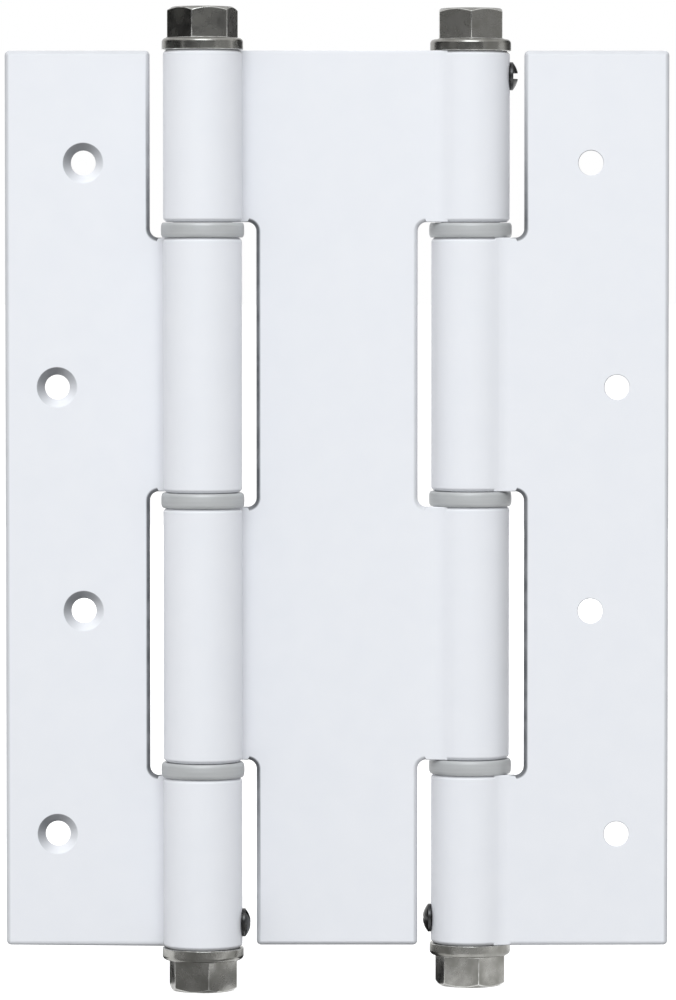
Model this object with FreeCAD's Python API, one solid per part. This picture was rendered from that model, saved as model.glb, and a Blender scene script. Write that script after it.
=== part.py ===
import FreeCAD
import Part
import math
import os

# Double action spring hinge, laid out flat and upright.
# X runs to the door side, Y to the back and Z up, in millimetres.
# The origin is the centre of the middle plate.

# Sheet metal of the two leaves and the middle plate
LEAF_HEIGHT = 180.0
SHEET_THICKNESS = 2.0
AXIS_SPACING = 53.8
LEAF_REACH = 39.75
PLATE_SETBACK = 4.3
KNUCKLE_RADIUS = 7.9
JOGGLE_RADIUS = 5.5
SEAM_GAP = 0.4
INNER_KNUCKLE_LENGTH = 51.0
RING_SPACE = 3.1
KNUCKLE_CHAMFER = 0.6
LEAF_NOTCH_GAP = 2.8
MIDDLE_NOTCH_GAP = 2.8
NOTCH_CORNER_RADIUS = 1.8

# Fixing holes in each leaf, staggered down its height
HOLE_RADIUS = 2.5
COUNTERSINK_RADIUS = 4.0
COUNTERSINK_ANGLE = 90.0
HOLE_PITCH = 45.0
INNER_HOLE_FROM_EDGE = 15.7
OUTER_HOLE_FROM_EDGE = 10.4

# Bearing rings between the knuckles
RUNNING_CLEARANCE = 0.05
RING_RADIUS = 8.35
RING_FACE_RADIUS = 8.0
RING_PLAY = 0.1
RING_SPIGOT_LENGTH = 6.0
RING_SPIGOT_WALL = 0.8

# Hex caps that close the barrels and hold the springs
HEX_ACROSS_FLATS = 12.6
HEX_HEIGHT = 6.2
HEX_CHAMFER_ANGLE = 30.0
HEX_FACE_RADIUS = 6.0
FLANGE_RADIUS = 8.15
FLANGE_HEIGHT = 2.4
FLANGE_ROUND = 0.9
PLUG_LENGTH = 14.0

# The way one flat of each hexagon faces, in degrees from +X towards +Y
JAMB_UPPER_HEX_TURN = -76.0
JAMB_LOWER_HEX_TURN = -110.0
DOOR_UPPER_HEX_TURN = -60.0
DOOR_LOWER_HEX_TURN = -107.0

# Lock screws through the end knuckles into the caps
LOCK_SCREW_RADIUS = 1.5
LOCK_SCREW_LENGTH = 5.0
LOCK_SCREW_FROM_END = 5.0
LOCK_HOLE_CLEARANCE = 0.2
LOCK_HEAD_RADIUS = 2.85
LOCK_HEAD_HEIGHT = 1.7
LOCK_HEAD_RIM = 0.6
LOCK_SLOT_WIDTH = 0.9
LOCK_SLOT_DEPTH = 0.9

# The way each lock screw points out of its barrel, and how far its slot is turned from upright
JAMB_UPPER_LOCK_WAY = 90.0
JAMB_LOWER_LOCK_WAY = 0.0
DOOR_UPPER_LOCK_WAY = 0.0
DOOR_LOWER_LOCK_WAY = JAMB_LOWER_LOCK_WAY + 180.0
JAMB_UPPER_SLOT_TURN = 40.0
JAMB_LOWER_SLOT_TURN = 25.0
DOOR_UPPER_SLOT_TURN = 90.0
DOOR_LOWER_SLOT_TURN = 65.0

# Torsion springs of square wire
SPRING_CLEARANCE = 0.35
SPRING_WIRE = 2.2
SPRING_TURNS = 20.25
SPRING_END_PLAY = 0.3
TANG_RADIUS = 0.95
TANG_LENGTH = 5.0
TANG_CLEARANCE = 0.15

# Worked out from the sizes above
BORE_RADIUS = KNUCKLE_RADIUS - SHEET_THICKNESS
ROLL_RADIUS = KNUCKLE_RADIUS - SHEET_THICKNESS / 2
END_KNUCKLE_LENGTH = (LEAF_HEIGHT - 2 * INNER_KNUCKLE_LENGTH - 3 * RING_SPACE) / 2
FIT_RADIUS = BORE_RADIUS - RUNNING_CLEARANCE
RING_BORE_RADIUS = FIT_RADIUS - RING_SPIGOT_WALL
SPRING_RADIUS = RING_BORE_RADIUS - SPRING_CLEARANCE - SPRING_WIRE / 2
PLUG_FACE_Z = LEAF_HEIGHT / 2 - PLUG_LENGTH
COIL_LENGTH = 2 * (PLUG_FACE_Z - SPRING_END_PLAY) - SPRING_WIRE
LOCK_SCREW_Z = LEAF_HEIGHT / 2 - LOCK_SCREW_FROM_END
LOCK_HOLE_RADIUS = LOCK_SCREW_RADIUS + LOCK_HOLE_CLEARANCE
JAMB_AXIS = FreeCAD.Vector(-AXIS_SPACING / 2, -PLATE_SETBACK, 0)
DOOR_AXIS = FreeCAD.Vector(AXIS_SPACING / 2, PLATE_SETBACK, 0)
UP = FreeCAD.Vector(0, 0, 1)
CENTRE = FreeCAD.Vector(0, 0, 0)
OVERCUT = 0.5


def polar(radius, degrees, z=0.0):
    angle = math.radians(degrees)
    return FreeCAD.Vector(radius * math.cos(angle), radius * math.sin(angle), z)


def line(start, end):
    return Part.LineSegment(start, end).toShape()


def arc(start, middle, end):
    return Part.Arc(start, middle, end).toShape()


def revolved(edges):
    """Turn a closed profile drawn in the XZ plane into a solid about Z."""
    return Part.Face(Part.Wire(edges)).revolve(CENTRE, UP, 360)


def polygon_edges(points):
    """Join points given as (radius, height) into the edges of a closed profile."""
    corners = [FreeCAD.Vector(radius, 0, height) for radius, height in points]
    return [line(a, b) for a, b in zip(corners, corners[1:] + corners[:1])]


def knuckle_spans():
    """The (bottom, top) height of each of the four knuckles, from the top down."""
    spans = []
    top = LEAF_HEIGHT / 2
    for length in (END_KNUCKLE_LENGTH, INNER_KNUCKLE_LENGTH, INNER_KNUCKLE_LENGTH, END_KNUCKLE_LENGTH):
        spans.append((top - length, top))
        top -= length + RING_SPACE
    return spans


# The rolled sheet: its barrel axis is at the origin and its plate runs out along +X, set back in +Y.
# A joggle bends the plate back onto the barrel, and the roll then runs round to a narrow seam.
JOGGLE_REACH = ROLL_RADIUS + JOGGLE_RADIUS
JOGGLE_Y = PLATE_SETBACK + JOGGLE_RADIUS
JOGGLE_X = math.sqrt(JOGGLE_REACH**2 - JOGGLE_Y**2)
JOGGLE_CENTRE = FreeCAD.Vector(JOGGLE_X, JOGGLE_Y, 0)
ROLL_START = math.degrees(math.atan2(JOGGLE_Y, JOGGLE_X))
SEAM_REACH = JOGGLE_RADIUS + SHEET_THICKNESS / 2 + SEAM_GAP
SEAM_COSINE = (KNUCKLE_RADIUS**2 + JOGGLE_REACH**2 - SEAM_REACH**2) / (2 * KNUCKLE_RADIUS * JOGGLE_REACH)
ROLL_END = 360 + ROLL_START - math.degrees(math.acos(SEAM_COSINE))


def sheet_section(reach):
    """The sheet's section in plan: plate, joggle and rolled knuckle."""
    half = SHEET_THICKNESS / 2
    back = PLATE_SETBACK + half
    front = PLATE_SETBACK - half
    joggle_middle = (ROLL_START + 180 + 270) / 2
    roll_middle = (ROLL_START + ROLL_END) / 2
    back_edge = FreeCAD.Vector(reach, back, 0)
    front_edge = FreeCAD.Vector(reach, front, 0)
    back_bend = FreeCAD.Vector(JOGGLE_X, back, 0)
    front_bend = FreeCAD.Vector(JOGGLE_X, front, 0)
    outer_start = polar(KNUCKLE_RADIUS, ROLL_START)
    inner_start = polar(BORE_RADIUS, ROLL_START)
    outer_end = polar(KNUCKLE_RADIUS, ROLL_END)
    inner_end = polar(BORE_RADIUS, ROLL_END)
    edges = [
        line(back_edge, back_bend),
        arc(back_bend, JOGGLE_CENTRE + polar(JOGGLE_RADIUS - half, joggle_middle), outer_start),
        arc(outer_start, polar(KNUCKLE_RADIUS, roll_middle), outer_end),
        line(outer_end, inner_end),
        arc(inner_end, polar(BORE_RADIUS, roll_middle), inner_start),
        arc(inner_start, JOGGLE_CENTRE + polar(JOGGLE_RADIUS + half, joggle_middle), front_bend),
        line(front_bend, front_edge),
        line(front_edge, back_edge),
    ]
    return Part.Face(Part.Wire(edges))


def notch(bottom, top, edge):
    """The cutter that clears the other sheet's knuckle, with rounded inner corners."""
    side = KNUCKLE_RADIUS + OVERCUT
    box = Part.makeBox(edge + side, 2 * side, top - bottom, FreeCAD.Vector(-side, -side, bottom))
    corners = [
        e for e in box.Edges
        if all(abs(v.X - edge) < 1e-6 for v in e.Vertexes)
        and abs(e.Vertexes[0].Z - e.Vertexes[1].Z) < 1e-6
    ]
    return box.makeFillet(NOTCH_CORNER_RADIUS, corners)


def knuckle_chamfer(end, inward):
    """The cutter that breaks a knuckle's outer edge; inward points into the knuckle along Z."""
    inner = FreeCAD.Vector(KNUCKLE_RADIUS - KNUCKLE_CHAMFER - OVERCUT, 0, end - inward * OVERCUT)
    corner = FreeCAD.Vector(KNUCKLE_RADIUS + OVERCUT, 0, end - inward * OVERCUT)
    lower = FreeCAD.Vector(KNUCKLE_RADIUS + OVERCUT, 0, end + inward * (KNUCKLE_CHAMFER + OVERCUT))
    profile = Part.Face(Part.Wire([line(inner, corner), line(corner, lower), line(lower, inner)]))
    profile.rotate(CENTRE, UP, ROLL_START)
    return profile.revolve(CENTRE, UP, ROLL_END - ROLL_START)


def rolled_sheet(reach, kept, notch_gap):
    """A sheet of full height with the kept knuckles rolled and notches where the others pass."""
    solid = sheet_section(reach).extrude(UP * LEAF_HEIGHT)
    solid.translate(UP * (-LEAF_HEIGHT / 2))
    cutters = []
    for index, (bottom, top) in enumerate(knuckle_spans()):
        if index in kept:
            cutters.append(knuckle_chamfer(top, -1))
            cutters.append(knuckle_chamfer(bottom, 1))
        else:
            cutters.append(notch(bottom - RING_SPACE, top + RING_SPACE, KNUCKLE_RADIUS + notch_gap))
    return solid.cut(cutters)


def lock_hole(radius, axis, direction, end):
    """A cylinder from the barrel axis out through the knuckle wall; end is 1 at the top and -1 below."""
    start = axis + UP * (end * LOCK_SCREW_Z)
    return Part.makeCylinder(radius, KNUCKLE_RADIUS + OVERCUT, start, polar(1, direction))


def fixing_hole(x, z):
    """A countersunk hole through the leaf, with its cone open to the front."""
    front = FreeCAD.Vector(x, -SHEET_THICKNESS / 2, z)
    back = FreeCAD.Vector(0, 1, 0)
    depth = (COUNTERSINK_RADIUS - HOLE_RADIUS) / math.tan(math.radians(COUNTERSINK_ANGLE / 2))
    hole = Part.makeCylinder(HOLE_RADIUS, SHEET_THICKNESS + 2 * OVERCUT, front - back * OVERCUT, back)
    return hole.fuse(Part.makeCone(COUNTERSINK_RADIUS, HOLE_RADIUS, depth, front, back))


def leaf():
    """The jamb leaf. The door leaf is the same pressing, turned half a turn about Z."""
    sheet = rolled_sheet(LEAF_REACH, (1, 3), LEAF_NOTCH_GAP)
    sheet = sheet.mirror(CENTRE, FreeCAD.Vector(1, 0, 0))
    sheet.translate(JAMB_AXIS)
    edge = JAMB_AXIS.x - LEAF_REACH
    cutters = [lock_hole(LOCK_HOLE_RADIUS, JAMB_AXIS, JAMB_LOWER_LOCK_WAY, -1)]
    for row in range(4):
        inset = INNER_HOLE_FROM_EDGE if row % 2 == 0 else OUTER_HOLE_FROM_EDGE
        cutters.append(fixing_hole(edge + inset, HOLE_PITCH * (1.5 - row)))
    return sheet.cut(cutters)


def half_turn(shape):
    turned = shape.copy()
    turned.rotate(CENTRE, UP, 180)
    return turned


def middle_plate():
    """Two like halves that meet at the centre, each rolled onto its own barrel."""
    half = rolled_sheet(AXIS_SPACING / 2, (0, 2), MIDDLE_NOTCH_GAP)
    half.translate(JAMB_AXIS)
    plate = half.fuse(half_turn(half)).removeSplitter()
    jamb_hole = lock_hole(LOCK_HOLE_RADIUS, JAMB_AXIS, JAMB_UPPER_LOCK_WAY, 1)
    door_hole = lock_hole(LOCK_HOLE_RADIUS, DOOR_AXIS, DOOR_UPPER_LOCK_WAY, 1)
    return plate.cut([jamb_hole, door_hole])


def bearing_ring(axis, seat):
    """A bulged collar that stands on the knuckle below, with a spigot in the bore on each side."""
    height = RING_SPACE - RING_PLAY
    lower = [(RING_FACE_RADIUS, 0), (FIT_RADIUS, 0), (FIT_RADIUS, -RING_SPIGOT_LENGTH)]
    upper = [(FIT_RADIUS, height + RING_SPIGOT_LENGTH), (FIT_RADIUS, height), (RING_FACE_RADIUS, height)]
    inner = [(RING_BORE_RADIUS, -RING_SPIGOT_LENGTH), (RING_BORE_RADIUS, height + RING_SPIGOT_LENGTH)]
    edges = polygon_edges(lower + inner + upper)[:-1]
    bulge = [FreeCAD.Vector(r, 0, z) for r, z in (upper[-1], (RING_RADIUS, height / 2), lower[0])]
    ring = revolved(edges + [arc(*bulge)])
    ring.translate(axis + UP * seat)
    return ring


def tang(end, radius, start_z, length):
    """A rod along the spring's end, or the hole for it; end is 1 at the top and -1 below."""
    angle = 360 * SPRING_TURNS if end > 0 else 0
    return Part.makeCylinder(radius, length, polar(SPRING_RADIUS, angle, end * start_z), UP * end)


def torsion_spring(axis):
    """A coil of square wire whose ends turn up into the two caps."""
    half = SPRING_WIRE / 2
    path = Part.makeHelix(COIL_LENGTH / SPRING_TURNS, COIL_LENGTH, SPRING_RADIUS)
    corners = [(SPRING_RADIUS + x * half, z * half) for x, z in ((-1, -1), (1, -1), (1, 1), (-1, 1))]
    coil = Part.Wire(path).makePipeShell([Part.Wire(polygon_edges(corners))], True, True)
    coil.translate(UP * (-COIL_LENGTH / 2))
    reach = half + SPRING_END_PLAY + TANG_LENGTH
    spring = coil.fuse([tang(end, TANG_RADIUS, COIL_LENGTH / 2, reach) for end in (1, -1)])
    spring.translate(axis)
    return spring


def hex_head(turn):
    """A hexagon with its outer end chamfered to a round face, standing on z = 0."""
    corner = HEX_ACROSS_FLATS / 2 / math.cos(math.radians(30))
    points = [polar(corner, turn + 60 * side + 30) for side in range(7)]
    prism = Part.Face(Part.makePolygon(points)).extrude(UP * HEX_HEIGHT)
    reach = corner + OVERCUT
    drop = (reach - HEX_FACE_RADIUS) * math.tan(math.radians(HEX_CHAMFER_ANGLE))
    blank = [(0, 0), (reach, 0), (reach, HEX_HEIGHT - drop), (HEX_FACE_RADIUS, HEX_HEIGHT), (0, HEX_HEIGHT)]
    return prism.common(revolved(polygon_edges(blank)))


def flanged_plug():
    """The round part of a cap: a plug below z = 0 and a flange with a rounded rim above it."""
    shoulder = FLANGE_HEIGHT - FLANGE_ROUND
    points = [
        (FLANGE_RADIUS - FLANGE_ROUND, FLANGE_HEIGHT),
        (0, FLANGE_HEIGHT),
        (0, -PLUG_LENGTH),
        (FIT_RADIUS, -PLUG_LENGTH),
        (FIT_RADIUS, 0),
        (FLANGE_RADIUS, 0),
        (FLANGE_RADIUS, shoulder),
    ]
    edges = polygon_edges(points)[:-1]
    inset = FLANGE_ROUND * (1 - math.sqrt(0.5))
    middle = FreeCAD.Vector(FLANGE_RADIUS - inset, 0, FLANGE_HEIGHT - inset)
    first = FreeCAD.Vector(points[0][0], 0, points[0][1])
    last = FreeCAD.Vector(points[-1][0], 0, points[-1][1])
    return revolved(edges + [arc(last, middle, first)])


def cap(axis, end, hex_turn, lock_way):
    """A hex cap on one end of a barrel, drilled for its lock screw and for the spring's tang."""
    head = hex_head(hex_turn)
    head.translate(UP * FLANGE_HEIGHT)
    solid = flanged_plug().fuse(head).removeSplitter()
    solid.translate(UP * (LEAF_HEIGHT / 2))
    if end < 0:
        solid = solid.mirror(CENTRE, UP)
    depth = OVERCUT + TANG_LENGTH + TANG_CLEARANCE
    tang_hole = tang(end, TANG_RADIUS + TANG_CLEARANCE, PLUG_FACE_Z - OVERCUT, depth)
    screw_hole = lock_hole(LOCK_SCREW_RADIUS + RUNNING_CLEARANCE, CENTRE, lock_way, end)
    screw_hole.translate(polar(KNUCKLE_RADIUS - LOCK_SCREW_LENGTH - LOCK_HOLE_CLEARANCE, lock_way))
    drilled = solid.cut([tang_hole, screw_hole])
    drilled.translate(axis)
    return drilled


def lock_screw(axis, end, lock_way, slot_turn):
    """A slotted pan head screw that seats on the knuckle and reaches into the cap."""
    points = [
        (0, LOCK_HEAD_HEIGHT),
        (0, -LOCK_SCREW_LENGTH),
        (LOCK_SCREW_RADIUS, -LOCK_SCREW_LENGTH),
        (LOCK_SCREW_RADIUS, 0),
        (LOCK_HEAD_RADIUS, 0),
        (LOCK_HEAD_RADIUS, LOCK_HEAD_RIM),
    ]
    edges = polygon_edges(points)[:-1]
    dome = LOCK_HEAD_HEIGHT - LOCK_HEAD_RIM
    dome_radius = (LOCK_HEAD_RADIUS**2 + dome**2) / (2 * dome)
    half_angle = math.asin(LOCK_HEAD_RADIUS / dome_radius) / 2
    middle_radius = dome_radius * math.sin(half_angle)
    middle_height = LOCK_HEAD_HEIGHT - dome_radius * (1 - math.cos(half_angle))
    rim = FreeCAD.Vector(LOCK_HEAD_RADIUS, 0, LOCK_HEAD_RIM)
    crown = FreeCAD.Vector(0, 0, LOCK_HEAD_HEIGHT)
    screw = revolved(edges + [arc(rim, FreeCAD.Vector(middle_radius, 0, middle_height), crown)])
    slot_corner = FreeCAD.Vector(-LOCK_HEAD_RADIUS, -LOCK_SLOT_WIDTH / 2, LOCK_HEAD_HEIGHT - LOCK_SLOT_DEPTH)
    screw = screw.cut(Part.makeBox(2 * LOCK_HEAD_RADIUS, LOCK_SLOT_WIDTH, LOCK_SLOT_DEPTH, slot_corner))
    screw.rotate(CENTRE, UP, slot_turn)
    screw.rotate(CENTRE, FreeCAD.Vector(0, 1, 0), 90)
    screw.translate(FreeCAD.Vector(KNUCKLE_RADIUS, 0, end * LOCK_SCREW_Z))
    screw.rotate(CENTRE, UP, lock_way)
    screw.translate(axis)
    return screw


def barrel(name, axis, upper_cap, lower_cap):
    """The pieces on one barrel; each cap is given by its hex turn, lock screw's way and slot turn."""
    pieces = {name + "_torsion_spring": torsion_spring(axis)}
    for place, (bottom, top) in zip(("upper", "middle", "lower"), knuckle_spans()[1:]):
        pieces[name + "_" + place + "_ring"] = bearing_ring(axis, top)
    for place, kind, end, turns in (("upper", "tension", 1, upper_cap), ("lower", "anchor", -1, lower_cap)):
        hex_turn, lock_way, slot_turn = turns
        pieces[name + "_" + kind + "_cap"] = cap(axis, end, hex_turn, lock_way)
        pieces[name + "_" + place + "_lock_screw"] = lock_screw(axis, end, lock_way, slot_turn)
    return pieces


def main():
    jamb_leaf = leaf()
    pieces = {
        "jamb_leaf": jamb_leaf,
        "middle_plate": middle_plate(),
        "door_leaf": half_turn(jamb_leaf),
    }
    jamb_upper = (JAMB_UPPER_HEX_TURN, JAMB_UPPER_LOCK_WAY, JAMB_UPPER_SLOT_TURN)
    jamb_lower = (JAMB_LOWER_HEX_TURN, JAMB_LOWER_LOCK_WAY, JAMB_LOWER_SLOT_TURN)
    door_upper = (DOOR_UPPER_HEX_TURN, DOOR_UPPER_LOCK_WAY, DOOR_UPPER_SLOT_TURN)
    door_lower = (DOOR_LOWER_HEX_TURN, DOOR_LOWER_LOCK_WAY, DOOR_LOWER_SLOT_TURN)
    pieces.update(barrel("jamb", JAMB_AXIS, jamb_upper, jamb_lower))
    pieces.update(barrel("door", DOOR_AXIS, door_upper, door_lower))
    os.makedirs("parts", exist_ok=True)
    for name, shape in pieces.items():
        print(name, shape.isValid(), len(shape.Solids), round(shape.Volume, 2))
        shape.exportStep("parts/" + name + ".step")


main()
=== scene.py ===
# %% [markdown]
# # A white double action spring hinge
#
# Three pressed steel plates are rolled round two barrels. Each barrel holds a torsion spring, and dark
# hex caps close its ends, so a swing door comes back to the middle from both sides. The solids of the
# hinge are loaded first and stay where they are. This lesson makes the surfaces that a person would see
# and touch: softened sheet edges, a powder coat, turned rings, plated caps and slotted screws.

# %% Load the solids of the hinge
import math

import bmesh
import bpy
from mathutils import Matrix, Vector
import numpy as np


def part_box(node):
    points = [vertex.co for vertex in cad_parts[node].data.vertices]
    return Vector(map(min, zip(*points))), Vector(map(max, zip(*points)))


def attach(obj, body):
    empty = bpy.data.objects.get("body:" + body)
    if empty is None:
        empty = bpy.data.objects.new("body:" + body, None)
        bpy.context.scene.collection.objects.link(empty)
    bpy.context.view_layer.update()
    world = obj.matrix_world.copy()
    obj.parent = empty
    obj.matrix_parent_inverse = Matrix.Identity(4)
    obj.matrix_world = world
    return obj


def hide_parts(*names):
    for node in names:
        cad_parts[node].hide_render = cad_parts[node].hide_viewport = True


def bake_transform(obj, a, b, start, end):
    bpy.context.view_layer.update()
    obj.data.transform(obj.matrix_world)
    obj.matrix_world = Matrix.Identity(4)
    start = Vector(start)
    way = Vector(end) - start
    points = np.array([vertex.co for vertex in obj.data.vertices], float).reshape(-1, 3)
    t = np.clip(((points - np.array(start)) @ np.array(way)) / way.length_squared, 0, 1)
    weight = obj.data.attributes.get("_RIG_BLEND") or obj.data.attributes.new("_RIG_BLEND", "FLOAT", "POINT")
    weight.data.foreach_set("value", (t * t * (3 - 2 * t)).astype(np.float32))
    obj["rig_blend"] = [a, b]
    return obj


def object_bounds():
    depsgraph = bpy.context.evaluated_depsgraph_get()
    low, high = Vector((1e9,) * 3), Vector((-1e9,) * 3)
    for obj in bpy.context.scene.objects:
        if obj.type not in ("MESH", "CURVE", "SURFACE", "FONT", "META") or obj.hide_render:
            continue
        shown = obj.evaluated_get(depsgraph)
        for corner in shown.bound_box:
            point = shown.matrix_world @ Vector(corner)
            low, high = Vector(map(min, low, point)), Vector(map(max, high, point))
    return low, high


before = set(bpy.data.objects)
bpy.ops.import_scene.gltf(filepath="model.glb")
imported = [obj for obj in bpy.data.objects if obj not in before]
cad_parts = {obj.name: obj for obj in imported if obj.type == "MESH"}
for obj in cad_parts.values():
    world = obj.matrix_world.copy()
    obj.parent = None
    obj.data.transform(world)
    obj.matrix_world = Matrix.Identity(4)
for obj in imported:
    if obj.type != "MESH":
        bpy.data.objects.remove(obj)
cad_low, cad_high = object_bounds()
MM = 0.001
print("solids:", len(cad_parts), "size in mm:", [round(x / MM, 1) for x in cad_high - cad_low])

# %% [markdown]
# ## The camera
#
# A product picture of a hinge is taken from far off with a long lens, so the upright barrels stay
# parallel. A camera could also be drawn in with lens shift, but then every other view would slide
# sideways too. Here it stands a little over a metre away, slightly above the middle, and simply looks
# at the centre of the hinge.

# %% Place the camera
CAMERA_PLACE = Vector((0.0002, -1.2, 0.05))
CAMERA_TARGET = Vector((0.0002, 0.0, -0.0002))
CAMERA_LENS = 214.9
CAMERA_SENSOR = 36.0

camera = bpy.data.objects.new("camera", bpy.data.cameras.new("camera"))
bpy.context.scene.collection.objects.link(camera)
camera.data.sensor_width = CAMERA_SENSOR
camera.data.lens = CAMERA_LENS
camera.location = CAMERA_PLACE
camera.rotation_euler = (CAMERA_TARGET - CAMERA_PLACE).to_track_quat("-Z", "Y").to_euler()
bpy.context.scene.camera = camera
print("camera looks from", [round(x, 3) for x in CAMERA_PLACE])

# %% [markdown]
# ## Nodes by the handful
#
# Shaders and geometry trees are both graphs of nodes. Wiring them in the editor is quick by hand and
# long in a script, so one small helper makes a node, sets its options and fills its sockets. A socket
# gets a link if the value is another socket, and a plain number or colour otherwise.

# %% Helpers for node trees
def node(tree, kind, values=None, **settings):
    made = tree.nodes.new(kind)
    for key, value in settings.items():
        setattr(made, key, value)
    for key, value in (values or {}).items():
        if isinstance(value, bpy.types.NodeSocket):
            tree.links.new(value, made.inputs[key])
        else:
            made.inputs[key].default_value = value
    return made


def maths(tree, operation, first, second=0.0):
    return node(tree, "ShaderNodeMath", {0: first, 1: second}, operation=operation).outputs[0]


def mixed(tree, factor, first, second):
    """A colour between two colours."""
    made = node(tree, "ShaderNodeMix", data_type="RGBA")
    for socket, value in (("Factor_Float", factor), ("A_Color", first), ("B_Color", second)):
        target = next(s for s in made.inputs if s.identifier == socket)
        if isinstance(value, bpy.types.NodeSocket):
            tree.links.new(value, target)
        else:
            target.default_value = value
    return next(s for s in made.outputs if s.identifier == "Result_Color")


def ranged(tree, value, low, high, to_low, to_high):
    """A value moved from one range to another, held at its ends."""
    sockets = {"Value": value, "From Min": low, "From Max": high, "To Min": to_low, "To Max": to_high}
    return node(tree, "ShaderNodeMapRange", sockets).outputs["Result"]


print("node helpers ready")

# %% [markdown]
# ## A plain studio
#
# The picture has a pure white ground and soft light that comes mostly from above, a little from the
# left. White paper lit until it burns out would also flood the hinge with light. Instead the world
# looks white only to rays that come from the camera, from a shiny surface or through glass. To all
# other rays it is a soft sky that is brightest above the camera and dim behind and below.

# %% World
SKY_COLOUR = (1.0, 0.995, 0.985, 1.0)
SKY_BRIGHTEST = Vector((-0.28, -0.62, 0.73)).normalized()
SKY_LEVEL = 0.43
SKY_SLOPE = 0.72
SKY_LEAST = 0.04
WHITE = (1.0, 1.0, 1.0, 1.0)


def seen_directly(tree):
    """1 for rays from the camera, from a mirror-like surface or through glass."""
    path = node(tree, "ShaderNodeLightPath").outputs
    shiny = maths(tree, "MAXIMUM", path["Is Glossy Ray"], path["Is Transmission Ray"])
    return maths(tree, "MAXIMUM", path["Is Camera Ray"], shiny)


world = bpy.data.worlds.new("studio")
world.use_nodes = True
bpy.context.scene.world = world
tree = world.node_tree
tree.nodes.clear()
way = node(tree, "ShaderNodeTexCoord").outputs["Generated"]
facing = node(tree, "ShaderNodeVectorMath", {0: way, 1: SKY_BRIGHTEST}, operation="DOT_PRODUCT")
slope = maths(tree, "MULTIPLY", facing.outputs["Value"], SKY_SLOPE)
level = maths(tree, "MAXIMUM", maths(tree, "ADD", slope, SKY_LEVEL), SKY_LEAST)
sky = node(tree, "ShaderNodeBackground", {"Color": SKY_COLOUR, "Strength": level})
ground = node(tree, "ShaderNodeBackground", {"Color": WHITE, "Strength": 1.0})
both = node(tree, "ShaderNodeMixShader", {0: seen_directly(tree), 1: sky.outputs[0], 2: ground.outputs[0]})
node(tree, "ShaderNodeOutputWorld", {"Surface": both.outputs[0]})
bpy.context.scene.view_settings.view_transform = "Standard"
print("world", world.name)

# %% [markdown]
# ## The floor
#
# The hinge stands on a wide sheet of pale paper. A plain white plane would look grey towards the
# horizon, so the paper glows when it is seen and adds a part of its own shading, in which the hinge
# still stands in a faint shadow. To all other rays it is a mid grey that throws little light back up.
# From below it is clear, so no view is blocked.

# %% Floor
FLOOR_SIZE = 30.0
FLOOR_GLOW = 0.8
FLOOR_SEEN_COLOUR = (0.45, 0.45, 0.45, 1.0)
FLOOR_COLOUR = (0.30, 0.30, 0.30, 1.0)

paper = bpy.data.materials.new("pale_floor")
paper.use_nodes = True
tree = paper.node_tree
tree.nodes.clear()
glow = node(tree, "ShaderNodeEmission", {"Color": WHITE, "Strength": FLOOR_GLOW})
shade = node(tree, "ShaderNodeBsdfDiffuse", {"Color": FLOOR_SEEN_COLOUR})
seen = node(tree, "ShaderNodeAddShader", {0: glow.outputs[0], 1: shade.outputs[0]})
bounce = node(tree, "ShaderNodeBsdfDiffuse", {"Color": FLOOR_COLOUR})
top = node(tree, "ShaderNodeMixShader", {0: seen_directly(tree), 1: bounce.outputs[0], 2: seen.outputs[0]})
clear = node(tree, "ShaderNodeBsdfTransparent")
under = node(tree, "ShaderNodeNewGeometry").outputs["Backfacing"]
sides = node(tree, "ShaderNodeMixShader", {0: under, 1: top.outputs[0], 2: clear.outputs[0]})
node(tree, "ShaderNodeOutputMaterial", {"Surface": sides.outputs[0]})

far = FLOOR_SIZE / 2
floor_mesh = bpy.data.meshes.new("floor")
corners = [(x, y, cad_low.z) for x, y in ((-far, -far), (far, -far), (far, far), (-far, far))]
floor_mesh.from_pydata(corners, [], [(0, 1, 2, 3)])
floor_mesh.materials.append(paper)
floor = bpy.data.objects.new("floor", floor_mesh)
bpy.context.scene.collection.objects.link(floor)
print("floor at", round(cad_low.z / MM, 1), "mm")

# %% [markdown]
# ## Two windows
#
# A large lamp above the camera works like a window: its light wraps round the barrels and leaves soft
# shade in the notches. A small lamp would be easier to aim, but its shadows would be hard. A second
# window lights the back of the hinge. It is kept out of reflections, because it would draw bright rims
# on the barrels in the picture from the front.

# %% Lamps
# Name, place, size, power, colour, and whether shiny surfaces mirror it
LAMPS = (
    ("window_above", (-0.02, -1.5, 1.2), 1.3, 21.0, (0.93, 0.97, 1.0), True),
    ("window_behind", (0.2, 1.8, 0.55), 1.3, 27.0, (0.96, 0.98, 1.0), False),
)


def lamp(name, place, size, power, colour, mirrored):
    data = bpy.data.lights.new(name, "AREA")
    data.size = size
    data.energy = power
    data.color = colour
    made = bpy.data.objects.new(name, data)
    bpy.context.scene.collection.objects.link(made)
    made.location = place
    made.rotation_euler = (-Vector(place)).to_track_quat("-Z", "Y").to_euler()
    made.visible_camera = False
    made.visible_glossy = mirrored
    return made


for row in LAMPS:
    print("lamp", lamp(*row).name)

# %% [markdown]
# ## Dark cards
#
# Plated metal is a mirror, and in an all white room it looks like plain grey paint. A photographer
# stands dark cards beside the table, so some faces of a hexagon turn dark while others stay bright. The
# upper caps mirror the cards that stand round the hinge. The lower caps are so close to the floor that
# they mirror only a hand's breadth of it, so smaller cards lie there. All are seen only in reflections:
# they cast no shadow and give no light, and no camera sees them.

# %% Cards for the metal to mirror
CARD_DISTANCE = 1.5
CARD_HEIGHT = 1.7
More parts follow.
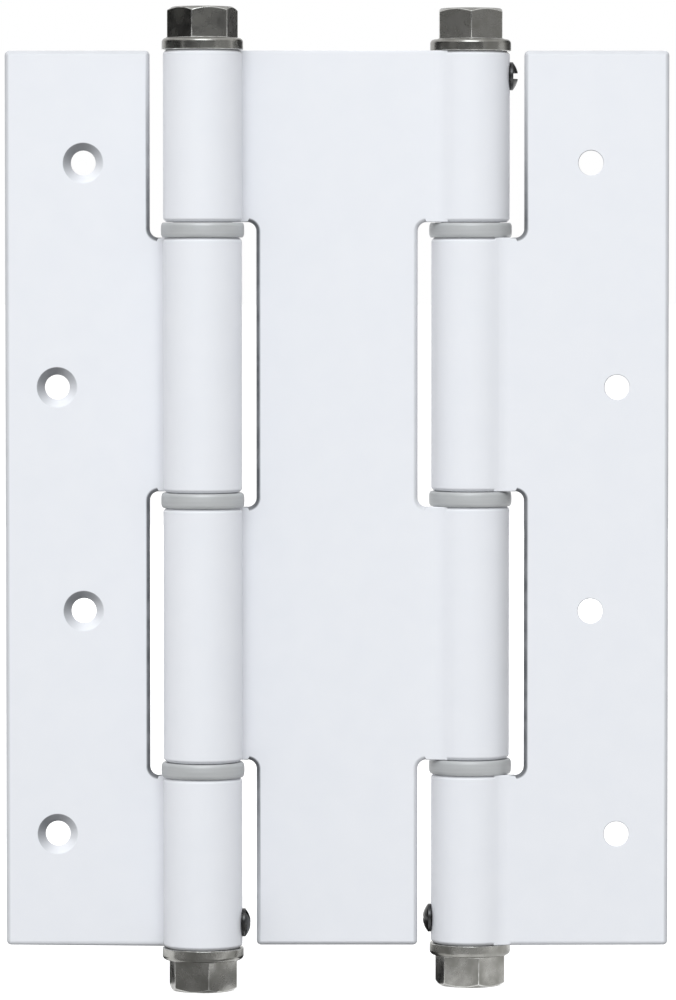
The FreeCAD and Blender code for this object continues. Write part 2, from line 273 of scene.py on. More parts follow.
# Name, azimuth in degrees, width and grey
UPRIGHT_CARDS = (
    ("card_left", -92.0, 2.02, 0.0),
    ("card_front", -9.0, 3.1, 0.06),
    ("card_right", 64.0, 1.3, 0.44),
    ("card_behind", 136.0, 1.1, 0.06),
)
# Name, reach along X, reach along Y and grey
LOW_CARDS = (
    ("card_low", (-0.14, -0.012), (-0.30, -0.010), 0.36),
    ("card_low_strip", (-0.012, 0.013), (-0.021, -0.006), 0.3),
    ("card_low_front", (-0.012, 0.09), (-0.11, -0.052), 0.08),
    ("card_low_behind", (-0.06, 0.0203), (0.0035, 0.055), 0.03),
)
LOW_CARD_LIFT = 0.0002


def card(name, corners, grey):
    mesh = bpy.data.meshes.new(name)
    mesh.from_pydata(corners, [], [(0, 1, 2, 3)])
    paint = bpy.data.materials.new(name)
    paint.use_nodes = True
    paint.node_tree.nodes.clear()
    tone = node(paint.node_tree, "ShaderNodeEmission", {"Color": (grey, grey, grey, 1.0)})
    node(paint.node_tree, "ShaderNodeOutputMaterial", {"Surface": tone.outputs[0]})
    mesh.materials.append(paint)
    made = bpy.data.objects.new(name, mesh)
    bpy.context.scene.collection.objects.link(made)
    made.visible_camera = False
    made.visible_diffuse = False
    made.visible_shadow = False
    made.visible_transmission = False
    print("card", made.name)


def upright(azimuth, width):
    """Corners of a standing card; the azimuth counts from the camera's side, to the right."""
    angle = math.radians(azimuth)
    out = Vector((math.sin(angle), -math.cos(angle), 0.0))
    side = Vector((-out.y, out.x, 0.0))
    up = Vector((0.0, 0.0, 1.0))
    return [
        out * CARD_DISTANCE + side * (x * width / 2) + up * (z * CARD_HEIGHT / 2)
        for x, z in ((-1, -1), (1, -1), (1, 1), (-1, 1))
    ]


for name, azimuth, width, grey in UPRIGHT_CARDS:
    card(name, upright(azimuth, width), grey)
card_z = cad_low.z + LOW_CARD_LIFT
for name, (left, right), (front, back), grey in LOW_CARDS:
    flat = [(x, y, card_z) for x, y in ((left, front), (right, front), (right, back), (left, back))]
    card(name, flat, grey)

# %% [markdown]
# ## Effects that several finishes share
#
# Two effects come back in several finishes. Grain is a noise that gives a surface its fine unevenness:
# the orange peel of a powder coat or the mottling of a plated nut. The edge mask paints shade as dark
# lines along the sheet edges of the plates, and marks the corners of the caps where plating is rubbed
# bright. Each is built once as a node group with named sockets, and every finish places the group with
# its own values. The edge comes from a number stored on the mesh when its edges are rounded.

# %% Node groups for grain and for edges with painted shade or wear
def group(name, inputs, outputs):
    made = bpy.data.node_groups.new(name, "ShaderNodeTree")
    for label, kind, value in inputs:
        socket = made.interface.new_socket(name=label, in_out="INPUT", socket_type=kind)
        socket.default_value = value
    for label, kind in outputs:
        made.interface.new_socket(name=label, in_out="OUTPUT", socket_type=kind)
    return made, node(made, "NodeGroupInput"), node(made, "NodeGroupOutput")


NUMBER = "NodeSocketFloat"
STRETCH = "NodeSocketVector"
BROAD_SHARE = 0.17
BROAD_DETAIL = 2.0
MOTTLE_FROM = (0.3, 0.7)
BREAKUP_FROM = (0.35, 0.65)

grain, given, result = group(
    "surface_grain",
    [("Scale", NUMBER, 1000.0), ("Detail", NUMBER, 3.0), ("Stretch", STRETCH, (1.0, 1.0, 1.0))],
    [("Height", NUMBER), ("Mottle", NUMBER)],
)
place = node(grain, "ShaderNodeTexCoord").outputs["Object"]
drawn = node(grain, "ShaderNodeVectorMath", {0: place, 1: given.outputs["Stretch"]}, operation="MULTIPLY")
sockets = {"Vector": drawn.outputs[0], "Scale": given.outputs["Scale"], "Detail": given.outputs["Detail"]}
fine = node(grain, "ShaderNodeTexNoise", sockets)
broad_scale = maths(grain, "MULTIPLY", given.outputs["Scale"], BROAD_SHARE)
sockets = {"Vector": drawn.outputs[0], "Scale": broad_scale, "Detail": BROAD_DETAIL}
broad = node(grain, "ShaderNodeTexNoise", sockets)
grain.links.new(fine.outputs[0], result.inputs["Height"])
grain.links.new(ranged(grain, broad.outputs[0], *MOTTLE_FROM, 0.0, 1.0), result.inputs["Mottle"])

# The edge mask: painted shade on the plates, rubbed wear on the caps
edge_wear_and_shade, given, result = group(
    "edge_wear_and_shade",
    [("Breakup Scale", NUMBER, 300.0), ("Breakup", NUMBER, 0.5)],
    [("Mask", NUMBER)],
)
stored = node(edge_wear_and_shade, "ShaderNodeAttribute", attribute_name="edge").outputs["Fac"]
place = node(edge_wear_and_shade, "ShaderNodeTexCoord").outputs["Object"]
patch = node(edge_wear_and_shade, "ShaderNodeTexNoise", {"Vector": place, "Scale": given.outputs["Breakup Scale"]})
broken = ranged(edge_wear_and_shade, patch.outputs[0], *BREAKUP_FROM, 0.0, 1.0)
loss = maths(edge_wear_and_shade, "MULTIPLY", broken, given.outputs["Breakup"])
kept = maths(edge_wear_and_shade, "SUBTRACT", 1.0, loss)
edge_wear_and_shade.links.new(maths(edge_wear_and_shade, "MULTIPLY", stored, kept), result.inputs["Mask"])
print("shared groups:", grain.name, edge_wear_and_shade.name)

# %% [markdown]
# ## The white powder coat
#
# The three plates wear baked paint with a satin gloss and a fine orange peel. Along the sheared edges a
# dark colour is mixed in: painted shade that stands for the shadowed edge faces of the sheet. A picture of
# paint could be wrapped round the plates, but it would stretch in the bends. Each finish here is a
# Principled shader instead, with its colour, roughness and bump driven by the groups above.

# %% White powder coat
def finish(name):
    made = bpy.data.materials.new(name)
    made.use_nodes = True
    made.node_tree.nodes.clear()
    return made, made.node_tree


def placed(tree, shared, values):
    made = node(tree, "ShaderNodeGroup", node_tree=shared)
    for key, value in values.items():
        made.inputs[key].default_value = value
    return made.outputs


def spread(tree, mask, ends):
    """A value that goes from one end to the other as the mask goes from 0 to 1."""
    return ranged(tree, mask, 0.0, 1.0, *ends)


def bumped(tree, height, strength, distance):
    sockets = {"Height": height, "Strength": strength, "Distance": distance}
    return node(tree, "ShaderNodeBump", sockets).outputs[0]


def surface(tree, values):
    shader = node(tree, "ShaderNodeBsdfPrincipled", values)
    node(tree, "ShaderNodeOutputMaterial", {"Surface": shader.outputs[0]})


COAT_COLOUR = (0.80, 0.81, 0.845, 1.0)
COAT_SHADE = (0.785, 0.797, 0.835, 1.0)
# Painted shade: the dark colour mixed in along the sheet edges and in the countersinks
EDGE_SHADE_COLOUR = (0.105, 0.11, 0.12, 1.0)
COAT_ROUGHNESS = (0.4, 0.48)

white_coat, tree = finish("white_coat_finish")
peel = placed(tree, grain, {"Scale": 900.0, "Detail": 2.0})
edge = placed(tree, edge_wear_and_shade, {"Breakup Scale": 260.0, "Breakup": 0.12})
coat = mixed(tree, peel["Mottle"], COAT_COLOUR, COAT_SHADE)
# The edge mask mixes painted shade into the coat, darkest in the notches and countersinks
colour = mixed(tree, edge["Mask"], coat, EDGE_SHADE_COLOUR)
surface(tree, {
    "Base Color": colour,
    "Specular IOR Level": 0.3,
    "Roughness": spread(tree, peel["Mottle"], COAT_ROUGHNESS),
    "Normal": bumped(tree, peel["Height"], strength=0.12, distance=0.06 * MM),
})
print("finish", white_coat.name)

# %% [markdown]
# ## The satin of the rings
#
# A lathe leaves fine lines round a ring. An Anisotropic shader could hint at them, but then they would
# vanish close up. Here the grain is drawn out along the turning and pressed together along the axis, so
# it makes real lines. A low Metallic keeps the dull, whitish look of satin steel under soft light.

# %% Satin rings
RING_COLOUR = (0.495, 0.505, 0.51, 1.0)
RING_SHADE = (0.43, 0.44, 0.445, 1.0)
RING_ROUGHNESS = (0.42, 0.55)
RING_STRETCH = (0.12, 0.12, 9.0)

ring_steel, tree = finish("ring_steel_finish")
lines = placed(tree, grain, {"Scale": 700.0, "Detail": 2.0, "Stretch": RING_STRETCH})
colour = mixed(tree, lines["Height"], RING_COLOUR, RING_SHADE)
surface(tree, {
    "Base Color": colour,
    "Metallic": 0.2,
    "Roughness": spread(tree, lines["Mottle"], RING_ROUGHNESS),
    "Normal": bumped(tree, lines["Height"], strength=0.25, distance=0.04 * MM),
})
print("finish", ring_steel.name)

# %% [markdown]
# ## The plating of the caps
#
# The caps are dark, bright-plated steel with a mottled skin, rubbed lighter on the corners where a
# spanner grips. One grey metal would do from far off. Two shades mixed by the mottle, with the worn
# edge on top, still look like plating close up.

# %% Dark plated caps
CAP_COLOUR = (0.34, 0.336, 0.318, 1.0)
CAP_SHADE = (0.21, 0.207, 0.19, 1.0)
CAP_RUBBED = (0.66, 0.66, 0.64, 1.0)
CAP_ROUGHNESS = (0.2, 0.34)

cap_steel, tree = finish("cap_steel_finish")
skin = placed(tree, grain, {"Scale": 1700.0, "Detail": 3.0})
edge = placed(tree, edge_wear_and_shade, {"Breakup Scale": 700.0, "Breakup": 0.7})
plating = mixed(tree, skin["Mottle"], CAP_COLOUR, CAP_SHADE)
colour = mixed(tree, edge["Mask"], plating, CAP_RUBBED)
surface(tree, {
    "Base Color": colour,
    "Metallic": 1.0,
    "Roughness": spread(tree, skin["Mottle"], CAP_ROUGHNESS),
    "Normal": bumped(tree, skin["Height"], strength=0.2, distance=0.04 * MM),
})
print("finish", cap_steel.name)

# %% [markdown]
# ## The steel of the screws and springs
#
# The lock screws are blackened and the springs are oiled. Both are small or hidden, so one function
# makes both finishes from two colours, the size of the mottling and a roughness.

# %% Lock screws and springs
SCREW_COLOUR = (0.075, 0.075, 0.075, 1.0)
SCREW_SHADE = (0.045, 0.045, 0.047, 1.0)
SPRING_COLOUR = (0.17, 0.175, 0.185, 1.0)
SPRING_SHADE = (0.09, 0.085, 0.08, 1.0)
ROUGHNESS_SPREAD = 0.12


def plain_steel(name, bright, dark, scale, roughness):
    made, tree = finish(name)
    skin = placed(tree, grain, {"Scale": scale, "Detail": 3.0})
    surface(tree, {
        "Base Color": mixed(tree, skin["Mottle"], bright, dark),
        "Metallic": 1.0,
        "Roughness": spread(tree, skin["Mottle"], (roughness, roughness + ROUGHNESS_SPREAD)),
        "Normal": bumped(tree, skin["Height"], strength=0.2, distance=0.04 * MM),
    })
    return made


screw_steel = plain_steel(
    "screw_steel_finish", SCREW_COLOUR, SCREW_SHADE, scale=2200.0, roughness=0.26)
spring_steel = plain_steel(
    "spring_steel_finish", SPRING_COLOUR, SPRING_SHADE, scale=1300.0, roughness=0.3)
print("finishes", screw_steel.name, spring_steel.name)

# %% [markdown]
# ## Soft edges on the pressed plates
#
# A solid from CAD has edges of no width at all, and light finds nothing to catch on them. Real sheet
# has a small round from the shears, and paint makes it rounder. A Bevel modifier could do it, but then
# the script could not tell which points lie on a rounded edge. So a copy of each solid is merged into
# whole faces and bevelled in bmesh, and every point can then be given a number in an attribute called
# edge, which the edge mask group reads: painted shade on the plates, wear on the caps.

# %% A softened copy of a solid
MERGE_DISTANCE = 1e-6
FLAT_ANGLE = math.radians(0.4)
SHARP_ANGLE = math.radians(32)
ROUND_STEPS = 4
ROUND_PROFILE = 0.5
FLAT_WEIGHT = 100


def merged_copy(name):
    """The solid's loose triangles joined, with flat faces made whole and room for the edge number."""
    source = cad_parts[name].data
    plain = bpy.data.meshes.new("plain")
    plain.from_pydata([v.co for v in source.vertices], [], [list(p.vertices) for p in source.polygons])
    made = bmesh.new()
    made.from_mesh(plain)
    bpy.data.meshes.remove(plain)
    bmesh.ops.remove_doubles(made, verts=made.verts, dist=MERGE_DISTANCE)
    bmesh.ops.dissolve_limit(made, angle_limit=FLAT_ANGLE, verts=made.verts, edges=made.edges)
    made.verts.layers.float.new("edge")
    return made


def round_edges(made, width, wanted):
    """Round the sharp edges that wanted() accepts, and return the points inside the rounds."""
    sharp = [
        e for e in made.edges
        if len(e.link_faces) == 2 and e.calc_face_angle() > SHARP_ANGLE and wanted(e)
    ]
    grown = bmesh.ops.bevel(
        made, geom=sharp, offset=width, offset_type="OFFSET", segments=ROUND_STEPS,
        profile=ROUND_PROFILE, affect="EDGES", clamp_overlap=False, loop_slide=False,
    )
    rounds = set(grown["faces"])
    return [v for v in grown["verts"] if all(f in rounds for f in v.link_faces)]


def finished_piece(name, made, material):
    """A new object from a bmesh, smooth but with its flat faces kept flat."""
    mesh = bpy.data.meshes.new(name)
    made.to_mesh(mesh)
    made.free()
    mesh.materials.append(material)
    mesh.shade_smooth()
    piece = bpy.data.objects.new(name, mesh)
    bpy.context.scene.collection.objects.link(piece)
    flat = piece.modifiers.new("flat_faces", "WEIGHTED_NORMAL")
    flat.mode = "FACE_AREA"
    flat.weight = FLAT_WEIGHT
    return piece


print("edges over", round(math.degrees(SHARP_ANGLE)), "degrees get a round")

# %% [markdown]
# ## The three plates
# Each plate gets painted shade along its sheared edges: dark lines that stand for edge faces lying in
# shadow. They are strongest beside the knuckles, where the narrow gaps lie in shade, and fainter on the
# outer edges. The notches on the right side of the middle plate get none. In a countersink the shade is
# painted on the walls that are turned away from the light above and to the left. All this could be
# painted by hand, but a rule serves all three plates: the number stored at each point says how much
# shade is painted there, and it grows as the surface turns away from the face of the sheet. The rims of
# the holes and the ends of the knuckles get a smaller round than the outline, because their walls are thin.

# %% Parts of a plate
SHEET_HALF = 1.01 * MM
BARREL_REACH = 8.4 * MM
NOTCH_REACH = 12.5 * MM


def middle_of(name):
    low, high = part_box(name)
    return (low + high) / 2


JAMB_BARREL_X = middle_of("jamb_middle_ring").x
DOOR_BARREL_X = middle_of("door_middle_ring").x
LEAF_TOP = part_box("jamb_leaf")[1].z
HOLE_ZONE = (44 * MM, 63 * MM)
HOLE_ZONE_TOP = LEAF_TOP - 12 * MM
NOTCH_TOP = LEAF_TOP - 1.3 * MM


def at_hole(place):
    """True inside the field of the leaf that holds the screw holes."""
    return HOLE_ZONE[0] < abs(place.x) < HOLE_ZONE[1] and abs(place.z) < HOLE_ZONE_TOP


def from_barrel(place):
    return min(abs(place.x - JAMB_BARREL_X), abs(place.x - DOOR_BARREL_X))


def on_sheet(place):
    """True on the flat sheet, clear of the barrels."""
    return abs(place.y) < SHEET_HALF and from_barrel(place) > BARREL_REACH


def in_notch(place):
    """True at the notches that get the strongest painted shade, apart from those on the right side of the
    middle plate.
    """
    if 0.0 < place.x < DOOR_BARREL_X:
        return False
    return from_barrel(place) < NOTCH_REACH and abs(place.z) < NOTCH_TOP


def middle_of_edge(edge):
    return (edge.verts[0].co + edge.verts[1].co) / 2


def hole_rim(edge):
    return at_hole(middle_of_edge(edge))


def sheet_outline(edge):
    return on_sheet(middle_of_edge(edge)) and not hole_rim(edge)


def knuckle_end(edge):
    return not on_sheet(middle_of_edge(edge))


print("barrels at x", round(JAMB_BARREL_X / MM, 1), "and", round(DOOR_BARREL_X / MM, 1), "mm")

# %% Coated plates
SHEET_ROUND = 0.9 * MM
KNUCKLE_ROUND = 0.2 * MM
RIM_ROUND = 0.14 * MM
FACE_OF_SHEET = 0.9995
# Painted shade at the sheet edges: how fast it grows as the surface turns, and its strength in notches,
# outside and in countersinks
SHADE_GROWTH = 7.0
SHADE_IN_NOTCH = 1.0
SHADE_OUTSIDE = 0.3
SHADE_IN_HOLE = 0.85
# The direction of the light above and to the left; countersink walls turned from it get painted shade
SHADE_LIGHT_FROM = Vector((-0.55, 0.0, 0.83))
PLATE_BODIES = {"jamb_leaf": "jamb_side", "middle_plate": "middle", "door_leaf": "door_side"}


def painted_edge_shade(v):
    """How much painted shade a point of the flat sheet gets, from 0 to 1."""
    if not on_sheet(v.co) or any(abs(f.normal.y) > FACE_OF_SHEET for f in v.link_faces):
        return 0.0
    turned_away = min(1.0, SHADE_GROWTH * (1.0 - v.normal.y ** 2))
    # In a countersink the painted shade falls on the walls turned away from the light
    if at_hole(v.co):
        slope = Vector((v.normal.x, 0.0, v.normal.z)).normalized()
        turned_from_light = (1.0 - slope.dot(SHADE_LIGHT_FROM)) / 2
        return turned_away * SHADE_IN_HOLE * turned_from_light
    return turned_away * (SHADE_IN_NOTCH if in_notch(v.co) else SHADE_OUTSIDE)


for plate, body in PLATE_BODIES.items():
    made = merged_copy(plate)
    round_edges(made, SHEET_ROUND, sheet_outline)
    round_edges(made, KNUCKLE_ROUND, knuckle_end)
    round_edges(made, RIM_ROUND, hole_rim)
    # Where two rounds meet, faces of no area are left over
    bmesh.ops.dissolve_degenerate(made, dist=MERGE_DISTANCE, edges=made.edges)
    made.normal_update()
    mark = made.verts.layers.float["edge"]
    for v in made.verts:
        v[mark] = painted_edge_shade(v)
    piece = finished_piece(plate + "_coated", made, white_coat)
    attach(piece, body)
    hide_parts(plate)
    print(piece.name, "faces:", len(piece.data.polygons))

# %% [markdown]
# ## The hex caps
#
# Each end of a barrel is closed by a turned and milled cap: a hexagon for the spanner that winds the
# spring, on a round flange. The solid has the right shape already, so it only gets a small round on its
# edges. Their points are marked as worn, because spanners and boxes rub the plating bright there.

# %% Plated caps
CAP_ROUND = 0.15 * MM
CAP_BODIES = {
    "jamb_tension_cap": "middle",
    "jamb_anchor_cap": "jamb_side",
    "door_tension_cap": "middle",
    "door_anchor_cap": "door_side",
}


def every_edge(edge):
    return True


for cap, body in CAP_BODIES.items():
    made = merged_copy(cap)
    rubbed = round_edges(made, CAP_ROUND, every_edge)
    mark = made.verts.layers.float["edge"]
    for v in rubbed:
        v[mark] = 1.0
    piece = finished_piece(cap + "_plated", made, cap_steel)
    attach(piece, body)
    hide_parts(cap)
    print(piece.name, "worn points:", len(rubbed))

# %% [markdown]
# ## Pieces grown by Geometry Nodes
#
# Rings, screws and springs come back several times on the hinge, and each follows a simple rule: a
# profile turned about an axis, or a wire wound along a helix. Copying meshes by hand would work, but a
# geometry tree says the rule once, with a named input for every size, and puts one copy on each point
# it is given. The points come from the boxes of the solids, so every copy sits where its solid sits. At
# the end the copies are made real and turned into plain meshes: one for each moving body, and one for
# each spring.

# %% Helpers that draw a shape
TURNING_RADIUS = 1e-9
CORNER_STEPS = 3


def shape_tree(name, sizes):
    """A new geometry tree with a named input for every size, and those inputs."""
    made = bpy.data.node_groups.new(name, "GeometryNodeTree")
    made.interface.new_socket(name="Geometry", in_out="INPUT", socket_type="NodeSocketGeometry")
    for label, value in sizes.items():
        socket = made.interface.new_socket(name=label, in_out="INPUT", socket_type=NUMBER)
        socket.default_value = value
    made.interface.new_socket(name="Material", in_out="INPUT", socket_type="NodeSocketMaterial")
    made.interface.new_socket(name="Geometry", in_out="OUTPUT", socket_type="NodeSocketGeometry")
    return made, node(made, "NodeGroupInput").outputs


def outline(tree, corners, rounding, closed):
    """A curve through corners given as (radius, height), with every corner rounded."""
    line = node(tree, "GeometryNodeMeshLine", {"Count": len(corners)})
    number = node(tree, "GeometryNodeInputIndex").outputs[0]
    pick = node(tree, "GeometryNodeIndexSwitch", {"Index": number}, data_type="VECTOR")
    for extra in corners[2:]:
        pick.index_switch_items.new()
    for place, (radius, height) in enumerate(corners):
        # Curve to Mesh lays the second axis of a profile downwards
        down = maths(tree, "MULTIPLY", height, -1.0)
        corner = node(tree, "ShaderNodeCombineXYZ", {"X": radius, "Y": down})
        tree.links.new(corner.outputs[0], pick.inputs[place + 1])
    bent = node(tree, "GeometryNodeSetPosition", {"Geometry": line.outputs[0], "Position": pick.outputs[0]})
    curve = node(tree, "GeometryNodeMeshToCurve", {"Mesh": bent.outputs[0]}).outputs[0]
    curve = node(tree, "GeometryNodeSetSplineCyclic", {"Geometry": curve, "Cyclic": closed}).outputs[0]
    sockets = {"Curve": curve, "Count": CORNER_STEPS, "Radius": rounding, "Limit Radius": True}
    return node(tree, "GeometryNodeFilletCurve", sockets, mode="POLY").outputs[0]


def turned(tree, profile, steps):
    """A profile turned about the upright axis, with its poles closed."""
    sockets = {"Resolution": steps, "Radius": TURNING_RADIUS}
    path = node(tree, "GeometryNodeCurvePrimitiveCircle", sockets).outputs[0]
    body = node(tree, "GeometryNodeCurveToMesh", {"Curve": path, "Profile Curve": profile}).outputs[0]
    sockets = {"Geometry": body, "Distance": MERGE_DISTANCE}
    return node(tree, "GeometryNodeMergeByDistance", sockets).outputs[0]


print("a turned profile has", CORNER_STEPS, "steps at each corner")

# %% Helpers that put copies in place
def copies(tree, given, shape):
    """One copy of a shape on every point, turned by the point's own angles, real and with its finish."""
    named = node(tree, "GeometryNodeInputNamedAttribute", {"Name": "turn"}, data_type="FLOAT_VECTOR")
    turn = node(tree, "FunctionNodeEulerToRotation", {"Euler": named.outputs[0]}).outputs[0]
    sockets = {"Points": given["Geometry"], "Instance": shape, "Rotation": turn}
    many = node(tree, "GeometryNodeInstanceOnPoints", sockets).outputs[0]
    real = node(tree, "GeometryNodeRealizeInstances", {"Geometry": many}).outputs[0]
    sockets = {"Geometry": real, "Material": given["Material"]}
    dressed = node(tree, "GeometryNodeSetMaterial", sockets).outputs[0]
    node(tree, "NodeGroupOutput", {"Geometry": dressed})


def grown_piece(name, tree, sizes, material, points):
    """Run a tree on points given as (place, angles), and keep the result as a plain mesh."""
    seeds = bpy.data.meshes.new(name + "_points")
    seeds.from_pydata([place for place, angles in points], [], [])
    turn = seeds.attributes.new("turn", "FLOAT_VECTOR", "POINT")
    turn.data.foreach_set("vector", [x for place, angles in points for x in angles])
    piece = bpy.data.objects.new(name, seeds)
    bpy.context.scene.collection.objects.link(piece)
    grow = piece.modifiers.new("grow", "NODES")
    grow.node_group = tree
    for socket in tree.interface.items_tree:
        if socket.in_out == "INPUT" and socket.name in sizes:
            grow[socket.identifier] = sizes[socket.name]
        if socket.in_out == "INPUT" and socket.name == "Material":
            grow[socket.identifier] = material
    graph = bpy.context.evaluated_depsgraph_get()
    mesh = bpy.data.meshes.new_from_object(piece.evaluated_get(graph))
    piece.modifiers.clear()
    piece.data = mesh
    bpy.data.meshes.remove(seeds)
    closed = bmesh.new()
    closed.from_mesh(mesh)
    bmesh.ops.recalc_face_normals(closed, faces=closed.faces)
    closed.to_mesh(mesh)
    closed.free()
    mesh.shade_smooth()
    mesh.set_sharp_from_angle(angle=SHARP_ANGLE)
    return piece


print("points come from", len(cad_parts), "boxes")

# %% [markdown]
# ## The bearing rings
#
# A ring of satin steel keeps two knuckles apart and lets them turn on each other. It is turned on a
# lathe: a collar that bulges slightly, with a thin spigot above and below that centres it in the bores.
# The tree draws half of that section and turns it about the barrel's axis.

# %% Rings
RING_SIZES = {
    "Collar Radius": 8.35 * MM,
    "Face Radius": 8.0 * MM,
    "Collar Height": 3.0 * MM,
    "Fit Radius": 5.85 * MM,
    "Bore Radius": 5.05 * MM,
    "Spigot Length": 6.0 * MM,
    "Edge Round": 0.22 * MM,
}
RINGS = {
    "jamb_side": ("jamb_upper_ring", "jamb_lower_ring"),
    "middle": ("jamb_middle_ring", "door_middle_ring"),
    "door_side": ("door_upper_ring", "door_lower_ring"),
}
BULGE_HEIGHTS = (-1.0, -0.85, -0.6, 0.0, 0.6, 0.85, 1.0)
BULGE_POWER = 4
RING_STEPS = 96
NO_TURN = (0.0, 0.0, 0.0)

ring_tree, given = shape_tree("bearing_ring", RING_SIZES)
half = maths(ring_tree, "MULTIPLY", given["Collar Height"], 0.5)
bulge = maths(ring_tree, "SUBTRACT", given["Collar Radius"], given["Face Radius"])
reach = maths(ring_tree, "ADD", half, given["Spigot Length"])
lower_half = maths(ring_tree, "MULTIPLY", half, -1.0)
lower_reach = maths(ring_tree, "MULTIPLY", reach, -1.0)
fit = given["Fit Radius"]
bore = given["Bore Radius"]
corners = [(bore, lower_reach), (fit, lower_reach), (fit, lower_half)]
for share in BULGE_HEIGHTS:
    drop = maths(ring_tree, "MULTIPLY", bulge, share ** BULGE_POWER)
    radius = maths(ring_tree, "SUBTRACT", given["Collar Radius"], drop)
    corners.append((radius, maths(ring_tree, "MULTIPLY", half, share)))
corners += [(fit, half), (fit, reach), (bore, reach)]
section = outline(ring_tree, corners, given["Edge Round"], True)
copies(ring_tree, given, turned(ring_tree, section, RING_STEPS))

for body, names in RINGS.items():
    points = [(middle_of(name), NO_TURN) for name in names]
    piece = grown_piece("bearing_rings_" + body, ring_tree, RING_SIZES, ring_steel, points)
    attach(piece, body)
    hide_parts(*names)
    print(piece.name, "faces:", len(piece.data.polygons))

# %% [markdown]
# ## The lock screws
#
# A slotted pan head screw through each end knuckle keeps its cap from turning back. Its slot could be
# modelled face by face, but a Boolean leaves the dome whole. The tree draws half of the screw, turns
# it, cuts the slot and lays the screw along X. Each point carries two angles: how far the slot has been
# turned, and which way the screw points out of the barrel.

# %% The screw's tree
SCREW_SIZES = {
    "Head Radius": 2.85 * MM,
    "Head Height": 1.7 * MM,
    "Rim Height": 0.6 * MM,
    "Shank Radius": 1.5 * MM,
    "Shank Length": 5.0 * MM,
    "Slot Width": 1.15 * MM,
    "Slot Depth": 1.05 * MM,
    "Edge Round": 0.12 * MM,
}
DOME_STEPS = (0.35, 0.62, 0.84, 1.0)
SCREW_STEPS = 40
CUTTER_LENGTH = 2.4
ALONG_X = (0.0, math.pi / 2, 0.0)

screw_tree, given = shape_tree("lock_screw", SCREW_SIZES)
dome = maths(screw_tree, "SUBTRACT", given["Head Height"], given["Rim Height"])
corners = [(0.0, given["Head Height"])]
# The dome falls away as a parabola
for share in DOME_STEPS:
    drop = maths(screw_tree, "MULTIPLY", dome, share ** 2)
    radius = maths(screw_tree, "MULTIPLY", given["Head Radius"], share)
    corners.append((radius, maths(screw_tree, "SUBTRACT", given["Head Height"], drop)))
tip = maths(screw_tree, "MULTIPLY", given["Shank Length"], -1.0)
shank = given["Shank Radius"]
corners += [(given["Head Radius"], 0.0), (shank, 0.0), (shank, tip), (0.0, tip)]
blank = turned(screw_tree, outline(screw_tree, corners, given["Edge Round"], False), SCREW_STEPS)
# The cutter's middle is at the top of the head, so half of its depth cuts
length = maths(screw_tree, "MULTIPLY", given["Head Radius"], CUTTER_LENGTH)
depth = maths(screw_tree, "MULTIPLY", given["Slot Depth"], 2.0)
sockets = {"X": length, "Y": given["Slot Width"], "Z": depth}
size = node(screw_tree, "ShaderNodeCombineXYZ", sockets).outputs[0]
cutter = node(screw_tree, "GeometryNodeMeshCube", {"Size": size}).outputs[0]
lift = node(screw_tree, "ShaderNodeCombineXYZ", {"Z": given["Head Height"]}).outputs[0]
cutter = node(screw_tree, "GeometryNodeTransform", {"Geometry": cutter, "Translation": lift}).outputs[0]
sockets = {"Mesh 1": blank, "Mesh 2": cutter}
cut = node(screw_tree, "GeometryNodeMeshBoolean", sockets, solver="EXACT").outputs[0]
lying = node(screw_tree, "GeometryNodeTransform", {"Geometry": cut, "Rotation": ALONG_X}).outputs[0]
copies(screw_tree, given, lying)
print("nodes in the tree:", len(screw_tree.nodes))

# %% Screws in their knuckles
SLOT_TURNS = {
    "jamb_upper_lock_screw": 40.0,
    "jamb_lower_lock_screw": 25.0,
    "door_upper_lock_screw": 90.0,
    "door_lower_lock_screw": 65.0,
}
SCREWS = {
    "jamb_side": ("jamb_lower_lock_screw",),
    "middle": ("jamb_upper_lock_screw", "door_upper_lock_screw"),
    "door_side": ("door_lower_lock_screw",),
}


def screw_point(name):
    """The place where a screw's head sits on its knuckle, and its two angles."""
    barrel = middle_of(name.split("_")[0] + "_middle_ring")
    middle = middle_of(name)
    low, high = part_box(name)
    out = Vector((middle.x - barrel.x, middle.y - barrel.y, 0.0)).normalized()
    reach = abs(out.dot(high - low)) / 2
    seat = middle + out * (reach - SCREW_SIZES["Head Height"])
    return seat, (math.radians(SLOT_TURNS[name]), 0.0, math.atan2(out.y, out.x))


for body, names in SCREWS.items():
    points = [screw_point(name) for name in names]
    piece = grown_piece("lock_screws_" + body, screw_tree, SCREW_SIZES, screw_steel, points)
    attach(piece, body)
    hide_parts(*names)
    print(piece.name, "faces:", len(piece.data.polygons))

# %% [markdown]
# ## The torsion springs
#
# Inside each barrel a coil of square wire is wound up by the top cap and held by the bottom one. Nobody
# sees it with the caps on, but the part is complete with it. The tree sweeps a square with soft corners
# along a spiral and adds the two straight tangs that reach into the caps. A rigid coil would tear out
# of a cap when the hinge turns, so each spring is blended: its top follows the middle plate, its bottom
# follows the leaf, and the turns between share the twist, as in the real one.

# %% The coil's tree
SPRING_SIZES = {
    "Coil Radius": 3.6 * MM,
    "Coil Length": 149.2 * MM,
    "Turns": 20.25,
    "Wire": 2.2 * MM,
    "Wire Round": 0.3 * MM,
    "Tang Radius": 0.95 * MM,
    "Tang Length": 6.4 * MM,
}
STEPS_PER_TURN = 28
WIRE_CORNER_STEPS = 2
TANG_SIDES = 16

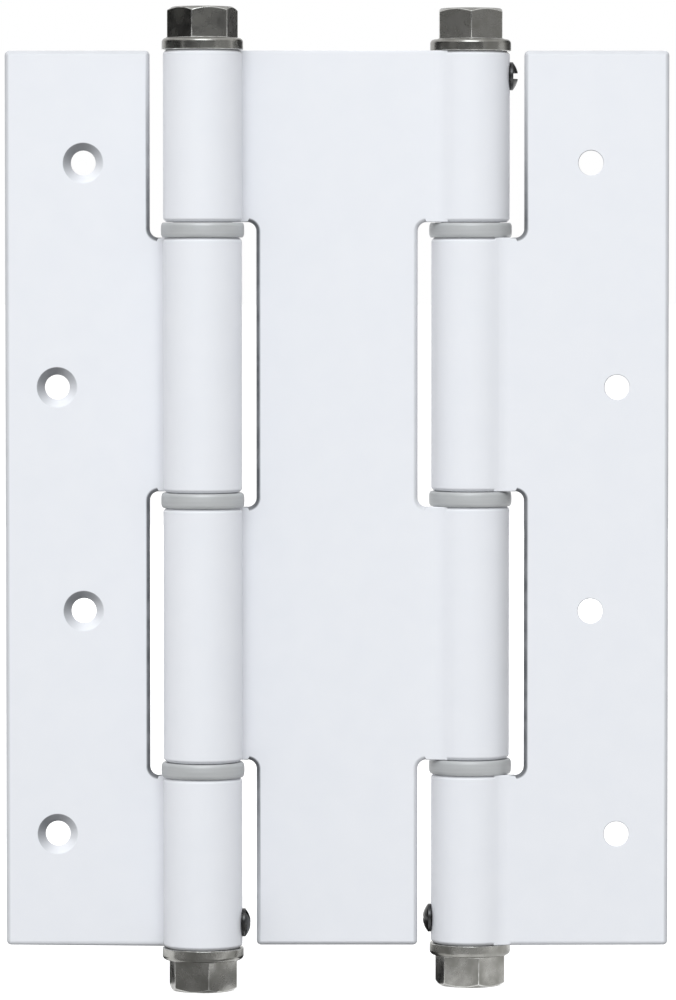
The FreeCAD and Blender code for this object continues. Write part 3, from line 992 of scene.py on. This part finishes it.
spring_tree, given = shape_tree("torsion_spring", SPRING_SIZES)
sockets = {
    "Resolution": STEPS_PER_TURN,
    "Rotations": given["Turns"],
    "Start Radius": given["Coil Radius"],
    "End Radius": given["Coil Radius"],
    "Height": given["Coil Length"],
    "Reverse": True,
}
helix = node(spring_tree, "GeometryNodeCurveSpiral", sockets).outputs[0]
helix = node(spring_tree, "GeometryNodeSetCurveNormal", {"Curve": helix}, mode="Z_UP").outputs[0]
sockets = {"Width": given["Wire"], "Height": given["Wire"]}
square = node(spring_tree, "GeometryNodeCurvePrimitiveQuadrilateral", sockets).outputs[0]
sockets = {"Curve": square, "Count": WIRE_CORNER_STEPS, "Radius": given["Wire Round"]}
square = node(spring_tree, "GeometryNodeFilletCurve", sockets, mode="POLY").outputs[0]
sockets = {"Curve": helix, "Profile Curve": square, "Fill Caps": True}
coil = node(spring_tree, "GeometryNodeCurveToMesh", sockets).outputs[0]
half_coil = maths(spring_tree, "MULTIPLY", given["Coil Length"], 0.5)
lower_end = maths(spring_tree, "MULTIPLY", half_coil, -1.0)
down = node(spring_tree, "ShaderNodeCombineXYZ", {"Z": lower_end}).outputs[0]
coil = node(spring_tree, "GeometryNodeTransform", {"Geometry": coil, "Translation": down}).outputs[0]
print("turns drawn:", SPRING_SIZES["Turns"])

# %% The coil's tangs
sockets = {"Vertices": TANG_SIDES, "Radius": given["Tang Radius"], "Depth": given["Tang Length"]}
rod = node(spring_tree, "GeometryNodeMeshCylinder", sockets).outputs[0]
middle = maths(spring_tree, "ADD", half_coil, maths(spring_tree, "MULTIPLY", given["Tang Length"], 0.5))
last = maths(spring_tree, "MULTIPLY", given["Turns"], 2 * math.pi)
across = maths(spring_tree, "MULTIPLY", maths(spring_tree, "COSINE", last), given["Coil Radius"])
along = maths(spring_tree, "MULTIPLY", maths(spring_tree, "SINE", last), given["Coil Radius"])
top = node(spring_tree, "ShaderNodeCombineXYZ", {"X": across, "Y": along, "Z": middle}).outputs[0]
under = maths(spring_tree, "MULTIPLY", middle, -1.0)
bottom = node(spring_tree, "ShaderNodeCombineXYZ", {"X": given["Coil Radius"], "Z": under}).outputs[0]
joined = node(spring_tree, "GeometryNodeJoinGeometry")
spring_tree.links.new(coil, joined.inputs[0])
for place in (top, bottom):
    tang = node(spring_tree, "GeometryNodeTransform", {"Geometry": rod, "Translation": place}).outputs[0]
    spring_tree.links.new(tang, joined.inputs[0])
copies(spring_tree, given, joined.outputs[0])
print("nodes in the tree:", len(spring_tree.nodes))

# %% Springs in their barrels
SPRINGS = {"jamb_torsion_spring": "jamb_side", "door_torsion_spring": "door_side"}
half_length = Vector((0.0, 0.0, SPRING_SIZES["Coil Length"] / 2))
for name, far_body in SPRINGS.items():
    centre = middle_of(name)
    piece = grown_piece(name + "_wire", spring_tree, SPRING_SIZES, spring_steel, [(centre, NO_TURN)])
    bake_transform(piece, "middle", far_body, start=centre + half_length, end=centre - half_length)
    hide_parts(name)
    print(piece.name, "faces:", len(piece.data.polygons))
